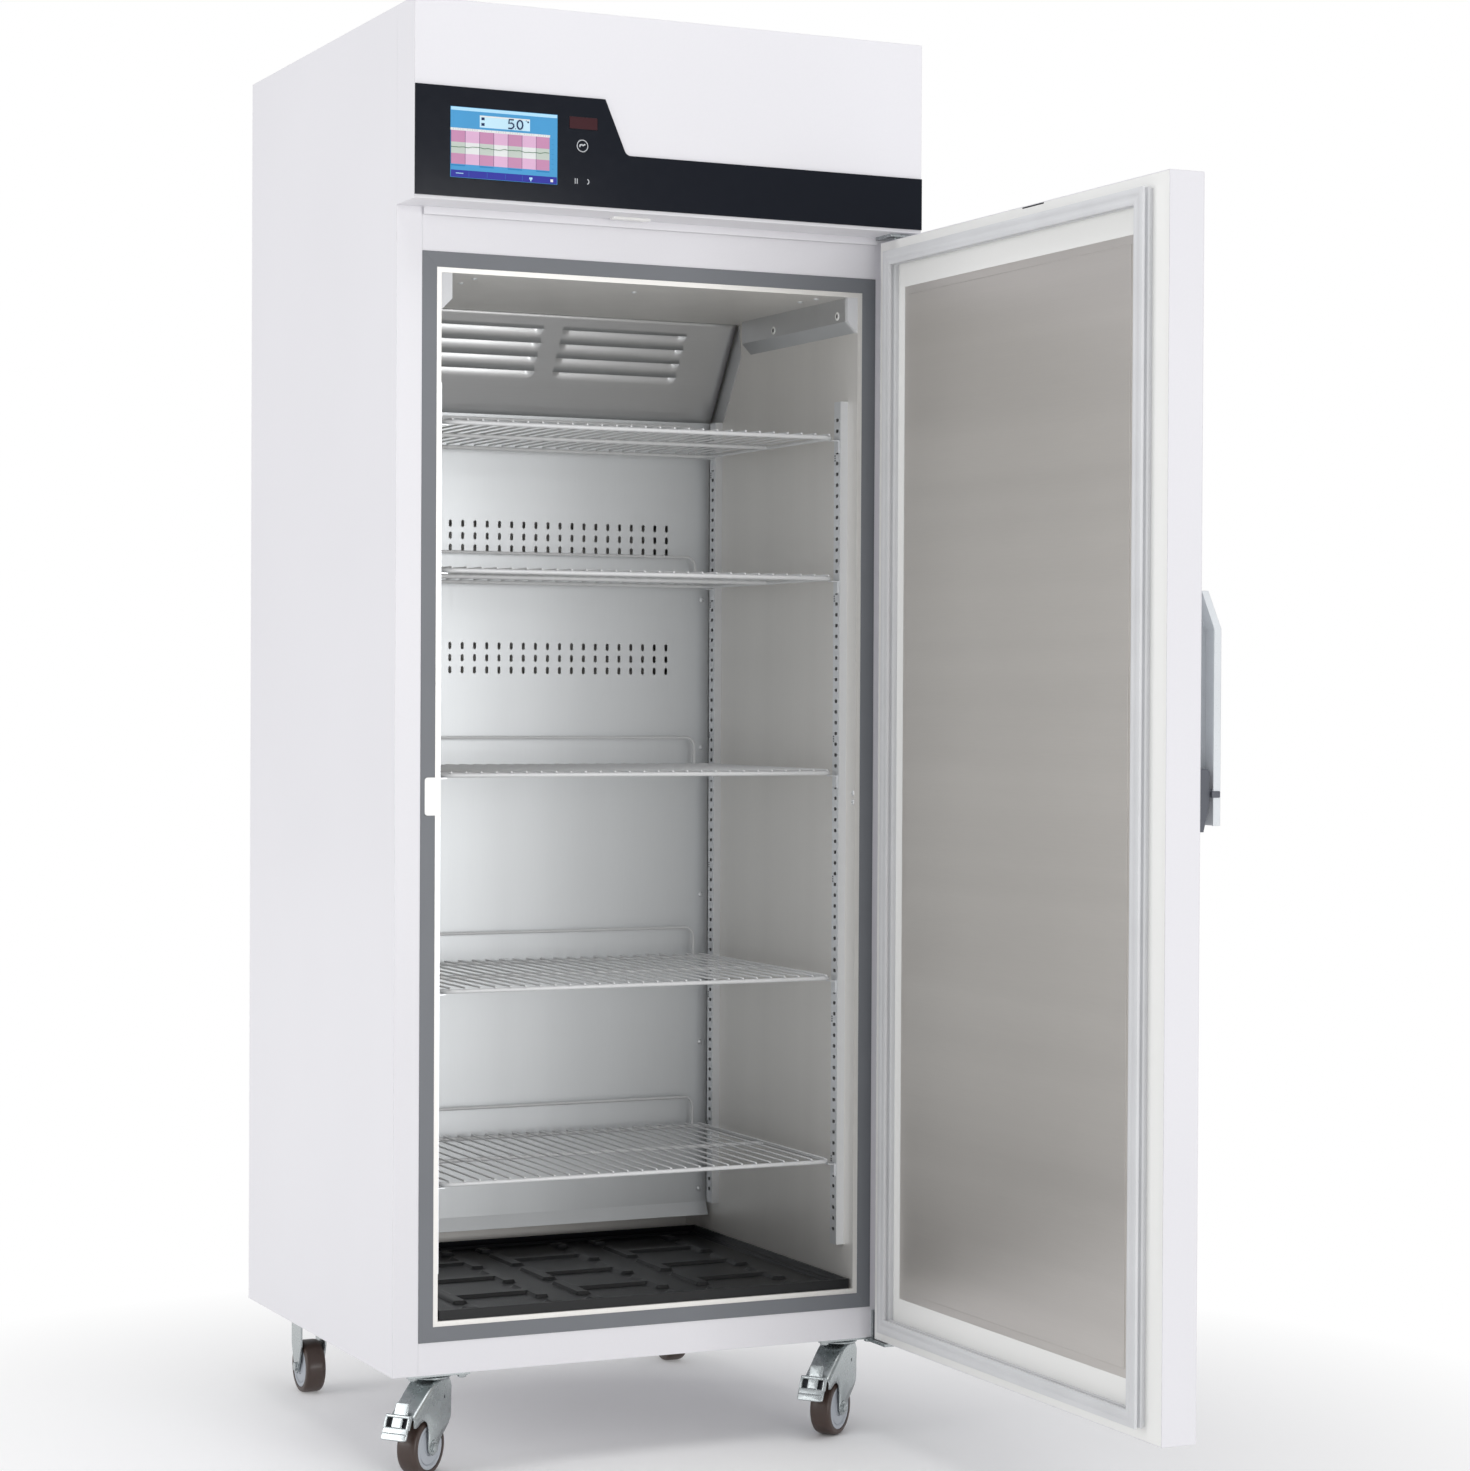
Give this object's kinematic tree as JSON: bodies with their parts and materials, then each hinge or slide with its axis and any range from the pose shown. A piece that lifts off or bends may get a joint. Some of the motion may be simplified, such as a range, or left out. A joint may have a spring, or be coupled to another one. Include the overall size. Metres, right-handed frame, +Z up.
{
  "type": "laboratory refrigerator",
  "caption": "Upright white laboratory refrigerator with its door open at a right angle, wire shelves, a touch display over the door and castors with brakes.",
  "frame": {"origin": "on the floor, under the middle of the cabinet's front edge", "axes": "+Z up, +Y towards the back of the cabinet, +X to the right seen from the front"},
  "size_m": [0.8654, 1.45, 2.01],
  "materials": {
    "white_enamel": "semi-gloss white powder coat",
    "grey_enamel": "satin grey steel of the closed machinery",
    "black_enamel": "black painted compressor shell",
    "stainless": "brushed stainless steel",
    "zinc": "bright zinc plating",
    "coated_wire": "white plastic-coated wire",
    "foam": "rigid foam, never seen",
    "white_plastic": "white moulded plastic",
    "grey_plastic": "mid-grey moulded frame",
    "dark_plastic": "dark grey moulding",
    "black_plastic": "black moulding",
    "silver_lever": "satin silver lever",
    "black_glass": "black gloss front glass",
    "screen": "lit touch screen",
    "red_window": "dark red readout window",
    "gasket_rubber": "soft pale gasket",
    "wheel_tread": "brown tread on a grey hub",
    "copper": "drawn copper",
    "finned_aluminium": "finned pack",
    "circuit_board": "circuit board with parts"
  },
  "bodies": {
    "cabinet": {"left_side_panel": "white_enamel", "right_side_panel": "white_enamel", "floor_panel": "white_enamel", "roof_deck": "white_enamel", "rear_panel": "white_enamel", "cabinet_insulation": "foam", "inner_liner": "stainless", "breaker_frame": "grey_plastic", "striker_plate": "white_plastic", "fascia_panel": "white_enamel", "display_glass": "black_glass", "touch_display": "screen", "alarm_display": "red_window", "power_key": "black_glass", "control_board": "circuit_board", "top_cover": "white_enamel", "rear_guard": "white_enamel", "mains_inlet": "black_plastic", "compressor": "black_enamel", "condenser": "finned_aluminium", "condenser_fan_shroud": "grey_enamel", "refrigerant_pipes": "copper", "evaporator": "finned_aluminium", "evaporator_fan_plate": "stainless", "evaporator_cover": "stainless", "air_duct_panel": "stainless", "duct_fittings": "stainless", "cove_caps": "white_plastic", "shelf_rails": "stainless", "shelf_clips": "stainless", "floor_tray": "black_plastic", "reed_switch": "black_plastic", "hinge_brackets": "zinc", "castor_plates": "zinc", "rear_forks": "zinc"},
    "door": {"door_shell": "white_enamel", "door_insulation": "foam", "door_liner": "white_plastic", "door_inner_panel": "stainless", "door_gasket": "gasket_rubber", "door_magnet": "black_plastic", "hinge_bushes": "grey_plastic", "handle_base": "dark_plastic"},
    "lever": {"handle_lever": "silver_lever"},
    "ram": {"release_ram": "zinc"},
    "condenser_fan_wheel": {"condenser_fan": "black_plastic"},
    "evaporator_fan_wheel": {"evaporator_fan": "black_plastic"},
    "shelf_1": {"shelf_1": "coated_wire"},
    "shelf_2": {"shelf_2": "coated_wire"},
    "shelf_3": {"shelf_3": "coated_wire"},
    "shelf_4": {"shelf_4": "coated_wire"},
    "shelf_5": {"shelf_5": "coated_wire"},
    "front_left_castor": {"front_left_fork": "zinc"},
    "front_left_brake": {"front_left_pedal": "black_plastic"},
    "front_left_wheel": {"front_left_wheel": "wheel_tread"},
    "rear_left_wheel": {"rear_left_wheel": "wheel_tread"},
    "front_right_castor": {"front_right_fork": "zinc"},
    "front_right_brake": {"front_right_pedal": "black_plastic"},
    "front_right_wheel": {"front_right_wheel": "wheel_tread"},
    "rear_right_wheel": {"rear_right_wheel": "wheel_tread"}
  },
  "joints": [
    {"name": "door_hinge", "type": "hinge", "parent": "cabinet", "child": "door", "pos_m": [0.365, -0.034, 0.141], "axis": [0, 0, 1], "range_deg": [-90, 20]},
    {"name": "handle_pull", "type": "hinge", "parent": "door", "child": "lever", "pos_m": [0.4564, -0.719, 0.954], "axis": [0, 1, 0], "range_deg": [0, 12], "stiffness_Nm_per_rad": 6},
    {"name": "ram_slide", "type": "slide", "parent": "door", "child": "ram", "axis": [-1, 0, 0], "range_m": [0, 0.021]},
    {"name": "condenser_fan_spin", "type": "hinge", "parent": "cabinet", "child": "condenser_fan_wheel", "pos_m": [-0.18, 0.35, 1.829], "axis": [0, 1, 0], "continuous": true},
    {"name": "evaporator_fan_spin", "type": "hinge", "parent": "cabinet", "child": "evaporator_fan_wheel", "pos_m": [0, 0.53, 1.575], "axis": [0, 1, 0], "continuous": true},
    {"name": "shelf_1_slide", "type": "slide", "parent": "cabinet", "child": "shelf_1", "axis": [0, -1, 0], "range_m": [0, 0.3]},
    {"name": "shelf_2_slide", "type": "slide", "parent": "cabinet", "child": "shelf_2", "axis": [0, -1, 0], "range_m": [0, 0.3]},
    {"name": "shelf_3_slide", "type": "slide", "parent": "cabinet", "child": "shelf_3", "axis": [0, -1, 0], "range_m": [0, 0.3]},
    {"name": "shelf_4_slide", "type": "slide", "parent": "cabinet", "child": "shelf_4", "axis": [0, -1, 0], "range_m": [0, 0.3]},
    {"name": "shelf_5_slide", "type": "slide", "parent": "cabinet", "child": "shelf_5", "axis": [0, -1, 0], "range_m": [0, 0.3]},
    {"name": "front_left_swivel", "type": "hinge", "parent": "cabinet", "child": "front_left_castor", "pos_m": [-0.316, 0.038, 0.141], "axis": [0, 0, 1], "continuous": true},
    {"name": "front_left_roll", "type": "hinge", "parent": "front_left_castor", "child": "front_left_wheel", "pos_m": [-0.3357, 0.02261, 0.04], "axis": [0.6157, -0.788, 0], "continuous": true},
    {"name": "front_left_brake_pedal", "type": "hinge", "parent": "front_left_castor", "child": "front_left_brake", "pos_m": [-0.36013, 0.00352, 0.086], "axis": [0.6157, -0.788, 0], "range_deg": [0, 12]},
    {"name": "rear_left_roll", "type": "hinge", "parent": "cabinet", "child": "rear_left_wheel", "pos_m": [-0.305, 0.612, 0.04], "axis": [1, 0, 0], "continuous": true},
    {"name": "front_right_swivel", "type": "hinge", "parent": "cabinet", "child": "front_right_castor", "pos_m": [0.316, 0.038, 0.141], "axis": [0, 0, 1], "continuous": true},
    {"name": "front_right_roll", "type": "hinge", "parent": "front_right_castor", "child": "front_right_wheel", "pos_m": [0.2963, 0.02261, 0.04], "axis": [0.6157, -0.788, 0], "continuous": true},
    {"name": "front_right_brake_pedal", "type": "hinge", "parent": "front_right_castor", "child": "front_right_brake", "pos_m": [0.27187, 0.00352, 0.086], "axis": [0.6157, -0.788, 0], "range_deg": [0, 12]},
    {"name": "rear_right_roll", "type": "hinge", "parent": "cabinet", "child": "rear_right_wheel", "pos_m": [0.305, 0.612, 0.04], "axis": [1, 0, 0], "continuous": true}
  ],
  "couplings": [
    {"joint": "ram_slide", "follows": "handle_pull", "m_per_rad": 0.1}
  ]
}
